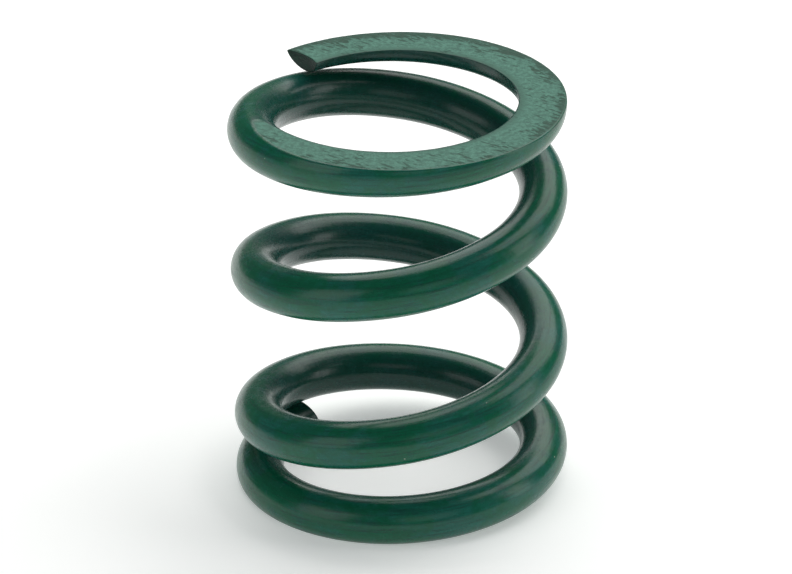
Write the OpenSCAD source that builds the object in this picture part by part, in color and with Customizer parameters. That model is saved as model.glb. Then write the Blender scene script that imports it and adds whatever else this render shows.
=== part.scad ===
// Helical compression spring: round wire, right-hand coils, closed and ground ends.
// The coil axis is +Z and the lower ground face lies on z = 0.
// The wire is a chain of 32 circular arcs, each a length of torus, that meet at flat faces
// square to the wire's centre line. Turning one arc against the next about that line is how
// the wire twists, and the coil closes, under load.

/* [Wire] */
// Diameter of the round wire (mm)
wire_d = 12.7; // [9:0.1:15.3]
// Inside diameter of the coil (mm)
inner_d = 63.5; // [50:0.5:80]

/* [Coil] */
// Rise of one active turn in the free spring (mm)
active_pitch = 43; // [30:0.5:54]
// Turns of wire from tip to tip
turns = 3.99; // [3.6:0.01:4.4]
// Azimuth of the lower wire tip about the coil axis (degrees)
tip_azimuth = 134.6; // [90:0.1:180]

/* [Ends] */
// Wire thickness left at the lower tip by the grinding (mm)
low_tip_t = 7.75; // [5:0.05:9.3]
// Wire thickness left at the upper tip by the grinding (mm)
top_tip_t = 4.5; // [3.5:0.05:8]
// Rise of the lower end coil in a turn, below its bend (mm)
low_rise = 10.8; // [7:0.1:11.5]
// Rise of the upper end coil in a turn, above its bend (mm)
top_rise = 8; // [5:0.1:11.5]
// Air between a tip and the coil next to it (mm)
tip_gap = 0.6; // [0.5:0.05:1.2]
// Length of the bend from end coil to active coil (turns)
bend_turns = 0.55; // [0.3:0.01:0.7]

/* [Sheared tips] */
// Radius of the hollow left in each end face by the shear (mm)
shear_r = 14; // [10:0.5:24]
// Depth of that hollow (mm)
shear_depth = 1.3; // [0.6:0.1:2]

/* [Hidden] */
$fn = 96;

paint = [0.09, 0.33, 0.25];
ground = [0.30, 0.52, 0.46];

// 8 arcs in each end coil and 16 between, all of the same share of a turn
arcs = 32;
end_arcs = 8;
arc_turns = turns / arcs;

coil_r = (inner_d + wire_d) / 2;
// way round one turn, measured along the lines that touch the coil at its faces
turn_way = 2 * coil_r * tan(180 * arc_turns) / arc_turns;

// where each bend starts, set so that the coil next to a tip clears it by tip_gap
first_rise = wire_d + tip_gap;
low_extra = active_pitch - low_rise;
top_extra = active_pitch - top_rise;
low_bend = 1 - sqrt(2 * bend_turns * (first_rise - low_rise) / low_extra);
top_bend = 1 - sqrt(2 * bend_turns * (first_rise - top_rise) / top_extra);
top_start = turns - top_bend - bend_turns;

// the share of a bend's extra pitch that has come in by x turns past its start
function bent(x) = min(max(x / bend_turns, 0), 1);

// pitch of the wire at u turns from the lower tip
function pitch(u) = low_rise + low_extra * bent(u - low_bend) - top_extra * bent(u - top_start);

function azimuth(u) = tip_azimuth + 360 * u;
function outward(u) = [cos(azimuth(u)), sin(azimuth(u)), 0];
function around(u) = [-sin(azimuth(u)), cos(azimuth(u)), 0];
function unit(v) = v / norm(v);

// direction of the centre line, square to the radius, at face number i
function course(i) = unit(turn_way * around(i * arc_turns) + [0, 0, pitch(i * arc_turns)]);

// an arc's chord runs midway between the directions of its two ends
function chord_way(i) = unit(course(i) + course(i + 1));
function chord_length(i, from) =
    let (square = around((i + 1) * arc_turns))
    -(from * square) / (chord_way(i) * square);
function next_face(i, from) = from + chord_length(i, from) * chord_way(i);

// centres of the faces between arcs, from the lower tip up
first_face = coil_r * outward(0) + [0, 0, low_tip_t - wire_d / 2];
function faces_from(i, at) = i == arcs ? [at] : concat([at], faces_from(i + 1, next_face(i, at)));
faces = faces_from(0, first_face);

// height of the upper ground face
free_h = faces[arcs][2] + top_tip_t - wire_d / 2;

stock_w = inner_d + 4 * wire_d;

// arc number i of the wire, counted from the lower tip
module wire_arc(i) {
    y = course(i);
    z = unit(cross(y, course(i + 1)));
    x = cross(y, z);
    turn = 2 * asin(norm(course(i + 1) - y) / 2);
    r = norm(faces[i + 1] - faces[i]) / (2 * sin(turn / 2));
    c = faces[i] - r * x;
    multmatrix([
        [x[0], y[0], z[0], c[0]],
        [x[1], y[1], z[1], c[1]],
        [x[2], y[2], z[2], c[2]],
        [0, 0, 0, 1]
    ])
        rotate_extrude(angle = turn)
            translate([r, 0])
                circle(d = wire_d);
}

// the slab that the grinding takes away, one wire diameter thick, from height z up
module stock_above(z)
    translate([-stock_w / 2, -stock_w / 2, z])
        cube([stock_w, stock_w, wire_d]);

// the round cutter that hollows an end face; way is 1 past the upper tip, -1 before the lower
module shear(i, way) {
    back = way * (shear_r - shear_depth) * around(i * arc_turns);
    translate(faces[i] + back - [0, 0, wire_d])
        cylinder(r = shear_r, h = 2 * wire_d);
}

// arc number n of the lower end coil, from 1 at its tip
module lower_arc(n)
    color(ground)
        difference() {
            wire_arc(n - 1);
            stock_above(-wire_d);
            if (n == 1)
                shear(0, -1);
        }

// active arc number n, from 1 just over the lower end coil to 16 just under the upper one
module active_arc(n)
    color(paint)
        wire_arc(end_arcs + n - 1);

// arc number n of the upper end coil, from 1 at its lower side to 8 at its tip
module upper_arc(n)
    color(ground)
        difference() {
            wire_arc(arcs - end_arcs + n - 1);
            stock_above(free_h);
            if (n == end_arcs)
                shear(arcs, 1);
        }

module lower_end_1() lower_arc(1);
module lower_end_2() lower_arc(2);
module lower_end_3() lower_arc(3);
module lower_end_4() lower_arc(4);
module lower_end_5() lower_arc(5);
module lower_end_6() lower_arc(6);
module lower_end_7() lower_arc(7);
module lower_end_8() lower_arc(8);

module active_01() active_arc(1);
module active_02() active_arc(2);
module active_03() active_arc(3);
module active_04() active_arc(4);
module active_05() active_arc(5);
module active_06() active_arc(6);
module active_07() active_arc(7);
module active_08() active_arc(8);
module active_09() active_arc(9);
module active_10() active_arc(10);
module active_11() active_arc(11);
module active_12() active_arc(12);
module active_13() active_arc(13);
module active_14() active_arc(14);
module active_15() active_arc(15);
module active_16() active_arc(16);

module upper_end_1() upper_arc(1);
module upper_end_2() upper_arc(2);
module upper_end_3() upper_arc(3);
module upper_end_4() upper_arc(4);
module upper_end_5() upper_arc(5);
module upper_end_6() upper_arc(6);
module upper_end_7() upper_arc(7);
module upper_end_8() upper_arc(8);

lower_end_1();
lower_end_2();
lower_end_3();
lower_end_4();
lower_end_5();
lower_end_6();
lower_end_7();
lower_end_8();
active_01();
active_02();
active_03();
active_04();
active_05();
active_06();
active_07();
active_08();
active_09();
active_10();
active_11();
active_12();
active_13();
active_14();
active_15();
active_16();
upper_end_1();
upper_end_2();
upper_end_3();
upper_end_4();
upper_end_5();
upper_end_6();
upper_end_7();
upper_end_8();
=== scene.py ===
import math

import bmesh
import bpy
import numpy as np
from mathutils import Matrix, Vector


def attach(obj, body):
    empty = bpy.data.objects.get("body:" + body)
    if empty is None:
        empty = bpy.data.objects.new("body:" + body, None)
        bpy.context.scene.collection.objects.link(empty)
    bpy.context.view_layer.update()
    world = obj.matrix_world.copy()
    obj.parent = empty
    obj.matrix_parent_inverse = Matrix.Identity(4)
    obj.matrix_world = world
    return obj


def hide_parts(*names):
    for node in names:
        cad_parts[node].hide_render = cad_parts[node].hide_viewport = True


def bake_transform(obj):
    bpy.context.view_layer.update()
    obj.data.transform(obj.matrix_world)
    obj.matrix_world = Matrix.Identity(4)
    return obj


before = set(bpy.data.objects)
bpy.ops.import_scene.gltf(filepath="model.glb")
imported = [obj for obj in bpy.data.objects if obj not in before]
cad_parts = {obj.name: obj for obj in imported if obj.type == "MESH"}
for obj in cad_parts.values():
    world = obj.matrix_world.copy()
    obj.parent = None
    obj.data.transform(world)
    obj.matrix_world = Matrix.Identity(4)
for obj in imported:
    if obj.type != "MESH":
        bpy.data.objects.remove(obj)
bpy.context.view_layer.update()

mm = 0.001
scene = bpy.context.scene

# the wire's own rule, the same one that the frame was made by: lengths in metres, pitches per turn
wire = {
    "thickness": 12.7 * mm,
    "insideDiameter": 63.5 * mm,
    "turns": 3.99,
    "arcs": 32,
    "endArcs": 8,
    "tipAzimuth": 134.6,
    "activePitch": 43 * mm,
    "lowRise": 10.8 * mm,
    "topRise": 8 * mm,
    "tipGap": 0.6 * mm,
    "bendTurns": 0.55,
    "lowTip": 7.75 * mm,
    "topTip": 4.5 * mm,
    "shearRadius": 14 * mm,
    "shearDepth": 1.3 * mm,
}


def unit(v):
    return v / np.linalg.norm(v)


# a chain of circular arcs that share their direction where they meet
def layWire(w):
    coilRadius = (w["insideDiameter"] + w["thickness"]) / 2
    step = w["turns"] / w["arcs"]
    turnWay = 2 * coilRadius * math.tan(math.pi * step) / step
    firstRise = w["thickness"] + w["tipGap"]
    lowExtra = w["activePitch"] - w["lowRise"]
    topExtra = w["activePitch"] - w["topRise"]
    lowBend = 1 - math.sqrt(2 * w["bendTurns"] * (firstRise - w["lowRise"]) / lowExtra)
    topBend = 1 - math.sqrt(2 * w["bendTurns"] * (firstRise - w["topRise"]) / topExtra)
    topStart = w["turns"] - topBend - w["bendTurns"]

    def bent(x):
        return min(max(x / w["bendTurns"], 0), 1)

    def around(u):
        a = math.radians(w["tipAzimuth"] + 360 * u)
        return np.array([-math.sin(a), math.cos(a), 0])

    def course(u):
        pitch = w["lowRise"] + lowExtra * bent(u - lowBend) - topExtra * bent(u - topStart)
        return unit(turnWay * around(u) + np.array([0, 0, pitch]))

    a = math.radians(w["tipAzimuth"])
    height = w["lowTip"] - w["thickness"] / 2
    at = np.array([coilRadius * math.cos(a), coilRadius * math.sin(a), height])
    arcs, travel = [], 0.0
    for i in range(w["arcs"]):
        y, after, square = course(i * step), course((i + 1) * step), around((i + 1) * step)
        chordWay = unit(y + after)
        chord = -(at @ square) / (chordWay @ square)
        z = unit(np.cross(y, after))
        x = np.cross(y, z)
        turn = 2 * math.asin(np.linalg.norm(after - y) / 2)
        radius = chord / (2 * math.sin(turn / 2))
        arcs.append({"centre": at - radius * x, "x": x, "y": y,
                     "turn": turn, "radius": radius, "travel": travel})
        at, travel = at + chord * chordWay, travel + radius * turn
    return arcs, at[2] + w["topTip"] - w["thickness"] / 2, coilRadius


arcs, upperSeat, coilRadius = layWire(wire)
print("wire laid, free height", round(upperSeat * 1000, 2), "mm")


# centre, direction and length so far, at s arcs from the lower tip
def wireAt(s):
    i = min(int(s), wire["arcs"] - 1)
    a = arcs[i]
    angle = (s - i) * a["turn"]
    out = math.cos(angle) * a["x"] + math.sin(angle) * a["y"]
    course = math.cos(angle) * a["y"] - math.sin(angle) * a["x"]
    return a["centre"] + a["radius"] * out, course, a["travel"] + a["radius"] * angle


# a socket that takes part in sums and products, in shader and geometry trees alike
class Signal:
    def __init__(self, board, socket):
        self.board, self.socket = board, socket

    def maths(self, operation, *others, turned=False):
        terms = (*others, self) if turned else (self, *others)
        return self.board.put("ShaderNodeMath", {"operation": operation}, dict(enumerate(terms)))

    def __add__(self, other):
        return self.maths("ADD", other)

    def __radd__(self, other):
        return self.maths("ADD", other)

    def __sub__(self, other):
        return self.maths("SUBTRACT", other)

    def __rsub__(self, other):
        return self.maths("SUBTRACT", other, turned=True)

    def __mul__(self, other):
        return self.maths("MULTIPLY", other)

    def __rmul__(self, other):
        return self.maths("MULTIPLY", other)

    def __truediv__(self, other):
        return self.maths("DIVIDE", other)

    def __rtruediv__(self, other):
        return self.maths("DIVIDE", other, turned=True)

    def __pow__(self, other):
        return self.maths("POWER", other)

    def __gt__(self, other):
        return self.maths("GREATER_THAN", other)

    def __lt__(self, other):
        return self.maths("LESS_THAN", other)

    def __neg__(self):
        return self.maths("MULTIPLY", -1)

    def __abs__(self):
        return self.maths("ABSOLUTE")


# a node tree, with one method that adds any node
class Board:
    def __init__(self, tree):
        self.tree = tree

    def put(self, kind, settings=None, sockets=None, out=0):
        node = self.tree.nodes.new(kind)
        for name, value in (settings or {}).items():
            if name == "stops":
                ramp = node.color_ramp.elements
                while len(ramp) < len(value):
                    ramp.new(0.5)
                for stop, (place, colour) in zip(ramp, value):
                    stop.position, stop.color = place, colour
            else:
                setattr(node, name, value)
        for key, value in (sockets or {}).items():
            socket = node.inputs[key]
            if isinstance(value, Signal):
                self.tree.links.new(value.socket, socket)
            else:
                socket.default_value = value
        return Signal(self, node.outputs[out]) if len(node.outputs) else node

    def also(self, signal, out):
        return Signal(self, signal.socket.node.outputs[out])

    def least(self, a, b):
        return self.put("ShaderNodeMath", {"operation": "MINIMUM"}, {0: a, 1: b})

    def most(self, a, b):
        return self.put("ShaderNodeMath", {"operation": "MAXIMUM"}, {0: a, 1: b})

    def clamp(self, a):
        return self.put("ShaderNodeMath", {"operation": "ADD", "use_clamp": True}, {0: a, 1: 0.0})

    def function(self, operation, a):
        return self.put("ShaderNodeMath", {"operation": operation}, {0: a})

    def choose(self, share, a, b):
        return a + (b - a) * share if isinstance(a, Signal) else share * (b - a) + a

    def ramp(self, value, low, high, smooth=True):
        kind = "SMOOTHSTEP" if smooth else "LINEAR"
        return self.put("ShaderNodeMapRange", {"interpolation_type": kind},
                        {"Value": value, "From Min": low, "From Max": high})

    def vector(self, operation, a, b=None, scale=None):
        sockets = {0: a}
        if b is not None:
            sockets[1] = b
        if scale is not None:
            sockets["Scale"] = scale
        return self.put("ShaderNodeVectorMath", {"operation": operation}, sockets)

    def parts(self, v):
        x = self.put("ShaderNodeSeparateXYZ", {}, {0: v})
        return x, self.also(x, 1), self.also(x, 2)

    def point(self, x, y, z):
        return self.put("ShaderNodeCombineXYZ", {}, {0: x, 1: y, 2: z})

    def tint(self, share, a, b):
        kind = {"data_type": "RGBA", "clamp_factor": True}
        return self.put("ShaderNodeMix", kind, {0: share, 6: a, 7: b}, 2)

    def noise(self, place, scale, detail=2.0, roughness=0.5):
        return self.put("ShaderNodeTexNoise", {"noise_dimensions": "3D"}, {
            "Vector": place, "Scale": scale, "Detail": detail, "Roughness": roughness})


# settings of the sweep, lengths in metres
sweep = {
    "Sides": 112,  # a multiple of 8
    "Wire Radius": wire["thickness"] / 2,
    "Lower Seat": 0.0,
    "Upper Seat": float(upperSeat),
    "Edge Round": 0.5 * mm,
    "Narrowest Flat": math.radians(13),
    "Shear Radius": wire["shearRadius"],
    "Shear Depth": wire["shearDepth"],
    "Chatter": 0.07 * mm,
    "Edge Waver": 0.03,
    "Seed": 3.0,
    "ringsPerArc": 48,
    "ghostRings": 2,
}


# turns a row of ring centres into a skin: a round wire with ground flats where it passes a seat
def sweepTree():
    tree = bpy.data.node_groups.new("sweptWire", "GeometryNodeTree")
    face = tree.interface
    face.new_socket("Rings", in_out="INPUT", socket_type="NodeSocketGeometry")
    kinds = {"Sides": "NodeSocketInt", "Ghosts Before": "NodeSocketInt",
             "Ghosts After": "NodeSocketInt", "Finish": "NodeSocketMaterial"}
    names = ["Sides", "Wire Radius", "Lower Seat", "Upper Seat", "Edge Round", "Narrowest Flat",
             "Shear Radius", "Shear Depth", "Chatter", "Edge Waver", "Seed", "Ghosts Before",
             "Ghosts After", "Finish"]
    for name in names:
        face.new_socket(name, in_out="INPUT", socket_type=kinds.get(name, "NodeSocketFloat"))
    face.new_socket("Wire", in_out="OUTPUT", socket_type="NodeSocketGeometry")
    b = Board(tree)
    group = tree.nodes.new("NodeGroupInput")
    given = {socket.name: Signal(b, socket) for socket in group.outputs if socket.name}
    rings, sides, r = given["Rings"], given["Sides"], given["Wire Radius"]

    rows = b.put("GeometryNodeAttributeDomainSize", {"component": "MESH"}, {0: rings})
    grid = b.put("GeometryNodeMeshGrid", {}, {
        "Size X": 1.0, "Size Y": 1.0, "Vertices X": sides + 1, "Vertices Y": rows})
    gridX, gridY, _ = b.parts(b.put("GeometryNodeInputPosition"))
    column = b.function("ROUND", (gridX + 0.5) * sides)
    row = b.function("ROUND", (gridY + 0.5) * (rows - 1))

    def atRing(name, kind):
        field = b.put("GeometryNodeInputNamedAttribute", {"data_type": kind}, {"Name": name})
        return b.put("GeometryNodeSampleIndex", {"data_type": kind, "domain": "POINT"},
                     {"Geometry": rings, "Value": field, "Index": row})

    centre, course = atRing("position", "FLOAT_VECTOR"), atRing("course", "FLOAT_VECTOR")
    travel, shrink, shear = atRing("travel", "FLOAT"), atRing("shrink", "FLOAT"), atRing("shear", "FLOAT")
    outward = b.vector("NORMALIZE", b.vector("CROSS_PRODUCT", course, (0, 0, 1)))
    up = b.vector("CROSS_PRODUCT", outward, course)
    upZ = b.parts(up)[2]
    centreZ = b.parts(centre)[2]

    # how far each seat is from the centre line, in wire radii, with a little waver along the edge
    waverPlace = b.point(travel * 260, given["Seed"], 0.0)
    waver = (b.noise(waverPlace, 1.0, 3.0, 0.6) - 0.5) * given["Edge Waver"]
    topK = (given["Upper Seat"] - centreZ) / (r * upZ)
    lowK = (centreZ - given["Lower Seat"]) / (r * upZ)

    def edgeAngle(k):
        real = b.function("ARCCOSINE", b.most(b.least(k + waver, 1.0), -1.0))
        widening = math.pi / 4 - given["Narrowest Flat"]
        away = b.clamp((k - 1) / 1.5) * widening + given["Narrowest Flat"]
        return b.most(real, away)

    def flatness(k):
        return b.clamp((1 - k) / 0.03)  # a flat comes in over three hundredths of a wire radius

    topEdge, lowEdge = edgeAngle(topK), edgeAngle(lowK)

    # the ring in four stretches: outer side, top, inner side, bottom
    shifted = b.put("ShaderNodeMath", {"operation": "MODULO"}, {0: column + sides / 8, 1: sides})
    stretch = b.function("FLOOR", shifted / (sides / 4) + 1e-4)
    t = (shifted - stretch * (sides / 4)) / (sides / 4)

    def isStretch(number):
        return b.put("ShaderNodeMath", {"operation": "COMPARE"}, {0: stretch, 1: float(number), 2: 0.1})

    onTop, onBottom, onInner = isStretch(1), isStretch(3), isStretch(2)
    onFlat = onTop + onBottom
    sideT = b.choose(onInner, t, 1 - t)
    half = math.pi / 2
    rise = sideT * ((half - topEdge) + (half - lowEdge)) - (half - lowEdge)
    sideX = b.function("COSINE", rise) * r * (1 - onInner * 2)
    sideY = b.function("SINE", rise) * r

    k = b.choose(onTop, lowK, topK)
    edge = b.choose(onTop, lowEdge, topEdge)
    way = onTop * 2 - 1
    across = b.choose(onTop, t * 2 - 1, 1 - t * 2)
    flat = flatness(k)
    corner = b.put("ShaderNodeMath", {"operation": "GREATER_THAN"}, {0: abs(across), 1: 0.99})
    widened = b.most(b.least(across * (sides / (sides - 8)), 1.0), -1.0)
    inside = b.choose(flat, across, widened)
    spread = b.least(edge, half)
    share = b.function("SINE", inside * spread) / b.function("SINE", spread)
    rounding = given["Edge Round"] * flat
    reach = b.function("SINE", edge) * r
    flatX = share * (reach - rounding) + corner * rounding * 0.72 * b.function("SIGN", across)
    marks = b.noise(b.point(flatX * 150, travel * 420, given["Seed"] + 7), 1.0, 2.0, 0.5)
    runOut = b.ramp(k, 0.7, 0.97)
    dents = b.ramp(marks, 0.5, 0.75) * given["Chatter"] * (runOut * 1.6 + 0.15) * flat
    level = b.least(b.function("COSINE", inside * edge) * r, k * r)
    flatY = (level - corner * rounding * 0.28 - dents * (1 - corner)) * way

    x = b.choose(onFlat, sideX, flatX)
    y = b.choose(onFlat, sideY, flatY)
    middle = (b.least(topK, 1.0) - b.least(lowK, 1.0)) * r / 2
    x = x * shrink
    y = middle + (y - middle) * shrink
    cutter = b.function("SQRT", given["Shear Radius"] ** 2 - x * x)
    hollow = b.most(cutter - (given["Shear Radius"] - given["Shear Depth"]), 0.0)
    along = shear * hollow
    place = centre
    for direction, distance in ((outward, x), (up, y), (course, along)):
        place = b.vector("ADD", place, b.vector("SCALE", direction, scale=distance))

    def keep(geometry, name, kind, value):
        return b.put("GeometryNodeStoreNamedAttribute", {"data_type": kind, "domain": "POINT"},
                     {"Geometry": geometry, "Name": name, "Value": value})

    # everything that comes from the grid's own places is stored before they change
    skin = keep(grid, "ringRow", "FLOAT", row)
    skin = keep(skin, "wirePlace", "FLOAT_VECTOR", b.point(x, y, travel + along))
    onSkin = b.ramp(shrink, 0.97, 1.0, False)  # 1 on the wire's skin, 0 on a tip face
    skin = keep(skin, "groundFace", "FLOAT", onFlat * flat * (1 - corner) * onSkin)
    skin = keep(skin, "tipFace", "FLOAT", 1 - onSkin)
    skin = b.put("GeometryNodeSetPosition", {}, {"Geometry": skin, "Position": place})
    skin = b.put("GeometryNodeFlipFaces", {}, {0: skin})
    skin = b.put("GeometryNodeMergeByDistance", {}, {"Geometry": skin, "Distance": 1e-7})
    skin = b.put("GeometryNodeSetShadeSmooth", {}, {"Geometry": skin})
    skin = keep(skin, "ringNormal", "FLOAT_VECTOR", b.put("GeometryNodeInputNormal"))
    kept = b.put("GeometryNodeInputNamedAttribute", {"data_type": "FLOAT"}, {"Name": "ringRow"})
    ghost = (kept < given["Ghosts Before"] - 0.5) + (kept > rows - given["Ghosts After"] - 0.5)
    skin = b.put("GeometryNodeDeleteGeometry", {"domain": "POINT"}, {"Geometry": skin, "Selection": ghost})
    skin = b.put("GeometryNodeRealizeInstances", {}, {0: skin})
    skin = b.put("GeometryNodeSetMaterial", {}, {"Geometry": skin, "Material": given["Finish"]})
    tree.links.new(skin.socket, tree.nodes.new("NodeGroupOutput").inputs[0])
    return tree


# the rows of rings for a length of wire from arc place a to b
# where the length ends at a tip, the last rings shrink to close the tip face
def ringRows(a, b):
    count = int(round((b - a) * sweep["ringsPerArc"]))
    step = 1 / sweep["ringsPerArc"]
    places = [(s, 1.0, 0.0) for s in np.linspace(a, b, count + 1)]
    closing = [0.0, 0.12, 0.24, 0.36, 0.48, 0.6, 0.72, 0.84, 0.93, 0.98]
    nearTip = [0.012, 0.03, 0.055]  # rings close to the rim, in arcs
    hollowReach = 0.16  # how far in the sheared face's hollow is felt, in arcs
    before = after = sweep["ghostRings"]
    if a == 0:
        places = [(0.0, shrink, 1.0) for shrink in closing] + [(0.0, 1.0, 1.0)] + [
            (s, 1.0, 1 - s / hollowReach) for s in nearTip] + [
            (s, 1.0, max(1 - s / hollowReach, 0)) for s, _, _ in places if s > nearTip[-1] + 0.01]
        before = 0
    if b == wire["arcs"]:
        end = float(b)
        rest = [s for s, _, _ in places if end - s > nearTip[-1] + 0.01]
        places = [(s, 1.0, -max(1 - (end - s) / hollowReach, 0)) for s in rest] + [
            (end - s, 1.0, -(1 - s / hollowReach)) for s in reversed(nearTip)] + [
            (end, 1.0, -1.0)] + [(end, shrink, -1.0) for shrink in reversed(closing)]
        after = 0
    places = [(a - step * (n + 1), 1.0, 0.0) for n in reversed(range(before))] + places
    places = places + [(b + step * (n + 1), 1.0, 0.0) for n in range(after)]
    return places, before, after


def ringMesh(name, places):
    mesh = bpy.data.meshes.new(name)
    found = [wireAt(s) for s, _, _ in places]
    mesh.from_pydata([tuple(centre) for centre, _, _ in found], [], [])
    course = mesh.attributes.new("course", "FLOAT_VECTOR", "POINT")
    course.data.foreach_set("vector", np.array([c for _, c, _ in found], np.float32).ravel())
    for field, values in (("travel", [t for _, _, t in found]), ("shrink", [p[1] for p in places]),
                          ("shear", [p[2] for p in places])):
        kept = mesh.attributes.new(field, "FLOAT", "POINT")
        kept.data.foreach_set("value", np.array(values, np.float32))
    return mesh


# closes the flat cuts between lengths, and gives each length the normals of the whole wire
def finishSkin(mesh):
    bm = bmesh.new()
    bm.from_mesh(mesh)
    rim = [edge for edge in bm.edges if edge.is_boundary]
    if rim:
        caps = bmesh.ops.holes_fill(bm, edges=rim, sides=0)["faces"]
        bmesh.ops.triangulate(bm, faces=caps)
        for edge in rim:
            edge.smooth = False
    bm.normal_update()
    skinFaces = len(mesh.polygons)
    bm.to_mesh(mesh)
    bm.free()
    normals = np.zeros(len(mesh.vertices) * 3, np.float32)
    mesh.attributes["ringNormal"].data.foreach_get("vector", normals)
    normals = normals.reshape(-1, 3)
    starts = np.zeros(len(mesh.loops), np.int32)
    mesh.loops.foreach_get("vertex_index", starts)
    perCorner = normals[starts]
    for polygon in mesh.polygons[skinFaces:]:
        polygon.use_smooth = False
        perCorner[list(polygon.loop_indices)] = polygon.normal
    mesh.normals_split_custom_set(perCorner)
    for name in ("ringRow", "ringNormal"):
        mesh.attributes.remove(mesh.attributes[name])


def sweepWire(name, a, b, finish):
    places, before, after = ringRows(a, b)
    maker = bpy.data.objects.new(name + "Rings", ringMesh(name + "Rings", places))
    scene.collection.objects.link(maker)
    modifier = maker.modifiers.new("sweep", "NODES")
    modifier.node_group = wireTree
    given = {**sweep, "Ghosts Before": before, "Ghosts After": after, "Finish": finish}
    for item in wireTree.interface.items_tree:
        if item.in_out == "INPUT" and item.name in given:
            modifier[item.identifier] = given[item.name]
    seen = maker.evaluated_get(bpy.context.evaluated_depsgraph_get())
    mesh = bpy.data.meshes.new_from_object(seen)
    maker.modifiers.remove(modifier)
    bpy.data.objects.remove(maker)
    mesh.name = name
    finishSkin(mesh)
    piece = bpy.data.objects.new(name, mesh)
    scene.collection.objects.link(piece)
    return piece


# the spray paint on the round wire
paint = {
    "green": (0.003, 0.112, 0.056, 1),
    "teal": (0.009, 0.116, 0.086, 1),
    "deep": (0.002, 0.042, 0.029, 1),
    "inside": (0.003, 0.034, 0.031, 1),  # painted shade on the bore side, darkened where the coils keep the light off it
    "roughness": 0.21,
    "shine": 0.32,
    "coat": 0.05,
    "coatRoughness": 0.16,
    "peelSize": 1.3 * mm,
    "peelDepth": 0.016 * mm,
    "streakDepth": 0.026 * mm,
    "rippleDepth": 0.022 * mm,
    "specks": (0.55, 0.60, 0.50, 1),
}

# the paint left on the ground faces and in the sheared tips
groundFace = {
    "pale": (0.030, 0.145, 0.102, 1),
    "worn": (0.090, 0.262, 0.195, 1),
    "dark": (0.003, 0.058, 0.032, 1),
    "torn": (0.003, 0.022, 0.016, 1),
    "roughness": 0.5,
    "layAngle": math.radians(-38),  # the direction that the wheel left its marks in
    "pitDepth": 0.05 * mm,
}


def newFinish(name):
    material = bpy.data.materials.new(name)
    material.use_nodes = True
    material.node_tree.nodes.clear()
    return material, Board(material.node_tree)


# colour, roughness and relief of the sprayed paint on the drawn wire, with painted shade on the bore side
def paintLayers(b):
    place = b.put("ShaderNodeAttribute", {"attribute_name": "wirePlace"}, {}, 1)
    inMm = b.vector("SCALE", place, scale=1000.0)
    x, y, travel = b.parts(inMm)
    lengthwise = b.point(x, y, travel * 0.045)
    crosswise = b.point(x * 0.35, y * 0.35, travel)
    broad = b.noise(inMm, 0.085, 3.0, 0.6)
    cloud = b.noise(inMm, 0.33, 3.0, 0.6)
    grain = b.noise(inMm, 3.4, 2.0, 0.6)
    fineStreak = b.noise(lengthwise, 1.5, 3.0, 0.65)
    wideStreak = b.noise(lengthwise, 0.42, 2.0, 0.5)
    peel = b.noise(inMm, 1 / (paint["peelSize"] * 1000), 2.0, 0.5)
    ripple = b.noise(crosswise, 0.95, 2.0, 0.5)

    colour = b.tint(b.ramp(broad + (cloud - 0.5) * 0.7, 0.38, 0.66), paint["green"], paint["teal"])
    colour = b.tint(b.ramp(fineStreak * 0.6 + cloud * 0.4, 0.46, 0.66) * 0.75, colour, paint["deep"])
    # painted shade: the bore side, inward on the wire, is darkened towards the inside colour
    colour = b.tint(b.ramp(-x + (cloud - 0.5) * 5, -1.5, 4.5) * 0.72, colour, paint["inside"])
    light = b.ramp(grain, 0.3, 0.7, False) * 0.3 + b.ramp(cloud, 0.3, 0.7) * 0.25 + 0.72
    colour = b.vector("SCALE", colour, scale=light)

    cells = b.put("ShaderNodeTexVoronoi", {"feature": "F1"}, {
        "Vector": inMm, "Scale": 0.16, "Randomness": 1.0})
    pick = b.parts(b.also(cells, 1))[0]
    dust = (cells < 0.018 + pick * 0.012) * (pick > 0.45)
    colour = b.tint(dust * 0.75, colour, paint["specks"])

    roughness = b.ramp(cloud, 0.3, 0.75) * 0.08 + b.ramp(fineStreak, 0.45, 0.75) * 0.07
    roughness = roughness + paint["roughness"] + dust * 0.3
    height = peel * paint["peelDepth"] + fineStreak * paint["streakDepth"]
    height = height + wideStreak * (paint["streakDepth"] * 3)
    height = height + ripple * paint["rippleDepth"] + dust * (0.02 * mm)
    return colour, roughness, height


def paintFinish():
    material, b = newFinish("springPaint")
    colour, roughness, height = paintLayers(b)
    normal = b.put("ShaderNodeBump", {}, {"Strength": 1.0, "Distance": 1.0, "Height": height})
    shader = b.put("ShaderNodeBsdfPrincipled", {}, {
        "Base Color": colour, "Roughness": roughness, "Normal": normal, "IOR": 1.5,
        "Specular IOR Level": paint["shine"],
        "Coat Weight": paint["coat"], "Coat Roughness": paint["coatRoughness"], "Coat IOR": 1.5})
    b.put("ShaderNodeOutputMaterial", {}, {"Surface": shader})
    return material


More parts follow.
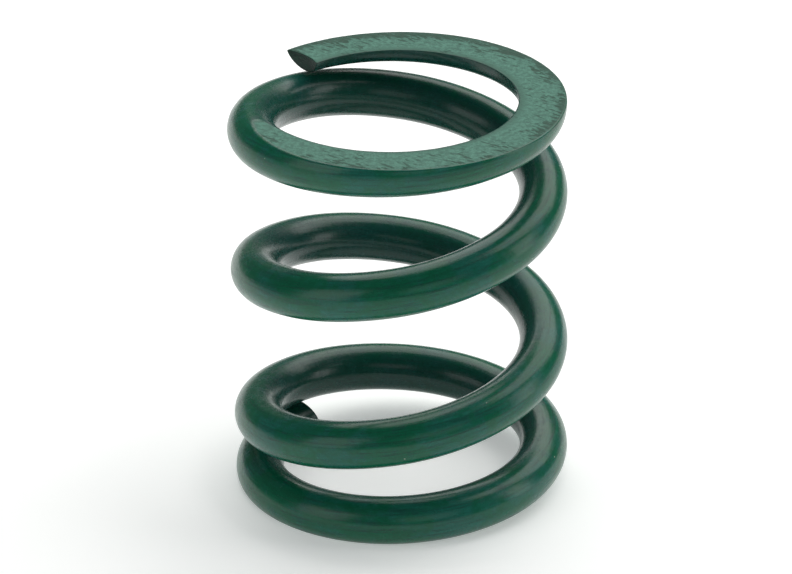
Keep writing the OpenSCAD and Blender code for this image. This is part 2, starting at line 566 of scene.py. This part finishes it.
def groundEndFinish():
    material, b = newFinish("groundEndPaint")
    colour, roughness, height = paintLayers(b)
    mask = b.put("ShaderNodeAttribute", {"attribute_name": "groundFace"}, {}, 2)
    spot = b.vector("SCALE", b.put("ShaderNodeTexCoord", {}, {}, 3), scale=1000.0)
    x, y, z = b.parts(spot)
    turn = groundFace["layAngle"]
    alongLay = x * math.cos(turn) + y * math.sin(turn)
    acrossLay = y * math.cos(turn) - x * math.sin(turn)
    lay = b.point(alongLay * 0.16, acrossLay, 0.0)
    scratches = b.noise(lay, 2.2, 2.0, 0.6)
    dashes = b.noise(b.point(alongLay * 0.3, acrossLay, 4.0), 1.15, 1.5, 0.5)
    patches = b.noise(spot, 0.12, 3.0, 0.6)
    mottle = b.noise(spot, 0.75, 3.0, 0.65)
    grain = b.noise(spot, 3.2, 2.0, 0.6)

    tone = b.tint(b.ramp(mottle, 0.36, 0.64), groundFace["pale"], groundFace["worn"])
    # paint that the wheel missed lies along the outer edge, widest at the back
    place = b.put("ShaderNodeAttribute", {"attribute_name": "wirePlace"}, {}, 1)
    radial = b.parts(b.vector("SCALE", place, scale=1000.0))[0]
    ragged = radial + (mottle - 0.5) * 9 + (patches - 0.5) * 7 + (dashes - 0.5) * 8
    missed = b.ramp(ragged + b.ramp(y, 0.0, 36.0) * 2.0, 4.3, 5.6)
    rubbed = b.ramp(-radial + (mottle - 0.5) * 6, 3.8, 6.0)
    gouges = b.ramp(dashes + (patches - 0.5) * 0.5 + radial * 0.012, 0.6, 0.68)
    # painted shade: the gouges are darkened in colour as if their grooves lay in shade
    tone = b.tint(gouges * 0.8, tone, groundFace["dark"])
    tone = b.tint(b.most(missed * 0.85, rubbed * 0.5), tone, groundFace["dark"])
    tone = b.tint(b.ramp(scratches, 0.52, 0.7) * 0.4, tone, groundFace["dark"])
    tone = b.vector("SCALE", tone, scale=b.ramp(grain, 0.3, 0.7, False) * 0.36 + 0.82)
    flatHeight = mottle * (0.02 * mm) + grain * (0.006 * mm) - gouges * groundFace["pitDepth"]
    flatHeight = flatHeight + scratches * (0.01 * mm)
    flatRough = b.ramp(mottle, 0.3, 0.7) * 0.12 + groundFace["roughness"]

    colour = b.tint(mask, colour, tone)
    torn = b.put("ShaderNodeAttribute", {"attribute_name": "tipFace"}, {}, 2)
    tear = b.noise(b.point(x * 0.6, y * 0.6, z * 2), 0.9, 3.0, 0.65)
    tornTone = b.tint(b.ramp(tear, 0.45, 0.7), groundFace["torn"], groundFace["dark"])
    colour = b.tint(torn * 0.9, colour, tornTone)
    roughness = b.choose(mask, roughness, flatRough) + torn * 0.3
    height = b.choose(mask, height, flatHeight) + torn * tear * (0.5 * mm)
    normal = b.put("ShaderNodeBump", {}, {"Strength": 1.0, "Distance": 1.0, "Height": height})
    shader = b.put("ShaderNodeBsdfPrincipled", {}, {
        "Base Color": colour, "Roughness": roughness, "Normal": normal, "IOR": 1.5,
        "Specular IOR Level": paint["shine"],
        "Coat Weight": (1 - mask) * paint["coat"],
        "Coat Roughness": paint["coatRoughness"], "Coat IOR": 1.5})
    b.put("ShaderNodeOutputMaterial", {}, {"Surface": shader})
    return material


# a long lens a metre and a half away, looking down on the coil
cameraPlace = {
    "distance": 1.505,
    "elevation": 26.15,
    "roll": 0.80,
    "lens": 258.1,
    "aimLeft": 0.89 * mm,
    "aimUp": 0.2 * mm,
}


def placeCamera():
    c = cameraPlace
    camera = bpy.data.objects.new("camera", bpy.data.cameras.new("camera"))
    scene.collection.objects.link(camera)
    camera.data.lens, camera.data.sensor_width = c["lens"], 36
    camera.data.clip_start, camera.data.clip_end = 0.1, 50
    lift = math.radians(c["elevation"])
    back = Vector((0, -math.cos(lift), math.sin(lift)))
    centre = Vector((0, 0, float(upperSeat) / 2))
    camera.location = centre + back * c["distance"]
    aim = centre + Vector((-c["aimLeft"], 0, 0)) + Vector((0, math.sin(lift), math.cos(lift))) * c["aimUp"]
    look = (aim - camera.location).to_track_quat("-Z", "Y")
    turned = look.to_matrix() @ Matrix.Rotation(-math.radians(c["roll"]), 3, "Z")
    camera.rotation_euler = turned.to_euler()
    scene.camera = camera


placeCamera()
print("camera placed")

# one large soft lamp overhead and three weaker ones in front and at the sides
studio = {
    "overhead": {
        "size": (2.2, 1.6), "place": (0.35, 0.75, 1.25),
        "watts": 26, "colour": (1.0, 0.99, 0.97),
    },
    "leftFill": {
        "size": (1.2, 1.4), "place": (-1.5, -0.9, 0.8),
        "watts": 7, "colour": (0.96, 1.0, 1.0),
    },
    "frontFill": {
        "size": (1.4, 0.9), "place": (0.5, -1.9, 1.0),
        "watts": 2.4, "colour": (1, 1, 1),
    },
    "rightBand": {
        "size": (0.5, 1.3), "place": (1.5, -0.15, 0.45),
        "watts": 5, "colour": (1, 1, 1),
    },
}


def lightStudio():
    for name, s in studio.items():
        lamp = bpy.data.lights.new(name, "AREA")
        lamp.shape, (lamp.size, lamp.size_y) = "RECTANGLE", s["size"]
        lamp.energy, lamp.color = s["watts"], s["colour"]
        holder = bpy.data.objects.new(name, lamp)
        holder.location = s["place"]
        aim = Vector((0, 0, 0.05)) - Vector(s["place"])
        holder.rotation_euler = aim.to_track_quat("-Z", "Y").to_euler()
        scene.collection.objects.link(holder)
    world = bpy.data.worlds.new("studioAir")
    world.use_nodes = True
    world.node_tree.nodes["Background"].inputs[0].default_value = (0.78, 0.92, 0.90, 1)
    world.node_tree.nodes["Background"].inputs[1].default_value = 0.1
    scene.world = world


def layFloor():
    mesh = bpy.data.meshes.new("floor")
    mesh.from_pydata([(-4, -4, 0), (4, -4, 0), (4, 4, 0), (-4, 4, 0)], [], [(0, 1, 2, 3)])
    floor = bpy.data.objects.new("floor", mesh)
    floor.location.z = -0.2 * mm
    scene.collection.objects.link(floor)
    material, b = newFinish("paleFloor")
    shade = b.noise(b.put("ShaderNodeTexCoord", {}, {}, 3), 3.0, 2.0)
    shader = b.put("ShaderNodeBsdfPrincipled", {}, {
        "Base Color": b.tint(shade, (0.93, 0.93, 0.925, 1), (0.945, 0.945, 0.945, 1)), "Roughness": 0.8,
        "Specular IOR Level": 0.2, "Emission Color": (1, 1, 1, 1), "Emission Strength": 0.32})
    b.put("ShaderNodeOutputMaterial", {}, {"Surface": shader})
    mesh.materials.append(material)


lightStudio()
layFloor()
scene.view_settings.view_transform = "Standard"
print("studio lit")

# the finished wire: two end coils and the active lengths between them
wireTree = sweepTree()
springPaint, groundEndPaint = paintFinish(), groundEndFinish()
lengths = ["lower_end"] + [f"active_{n:02d}" for n in range(1, 17)] + ["upper_end"]
firstHinge = wire["endArcs"]

lowerCoil = sweepWire("lowerEndCoil", 0, firstHinge - 0.5, groundEndPaint)
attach(lowerCoil, "lower_end")
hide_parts(*[f"lower_end_{n}" for n in range(1, 9)])

# each active length runs from the middle of one arc to the middle of the next
for n in range(1, 18):
    hinge = firstHinge + n - 1
    piece = sweepWire(f"activeWire{n:02d}", hinge - 0.5, hinge + 0.5, springPaint)
    start, end = (Vector(wireAt(hinge + side)[0]) for side in (-0.5, 0.5))
    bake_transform(piece)
    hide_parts(lengths[n] if n < 17 else "upper_end_1")

upperCoil = sweepWire("upperEndCoil", wire["arcs"] - firstHinge + 0.5, wire["arcs"], groundEndPaint)
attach(upperCoil, "upper_end")
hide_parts(*[f"upper_end_{n}" for n in range(1, 9)])
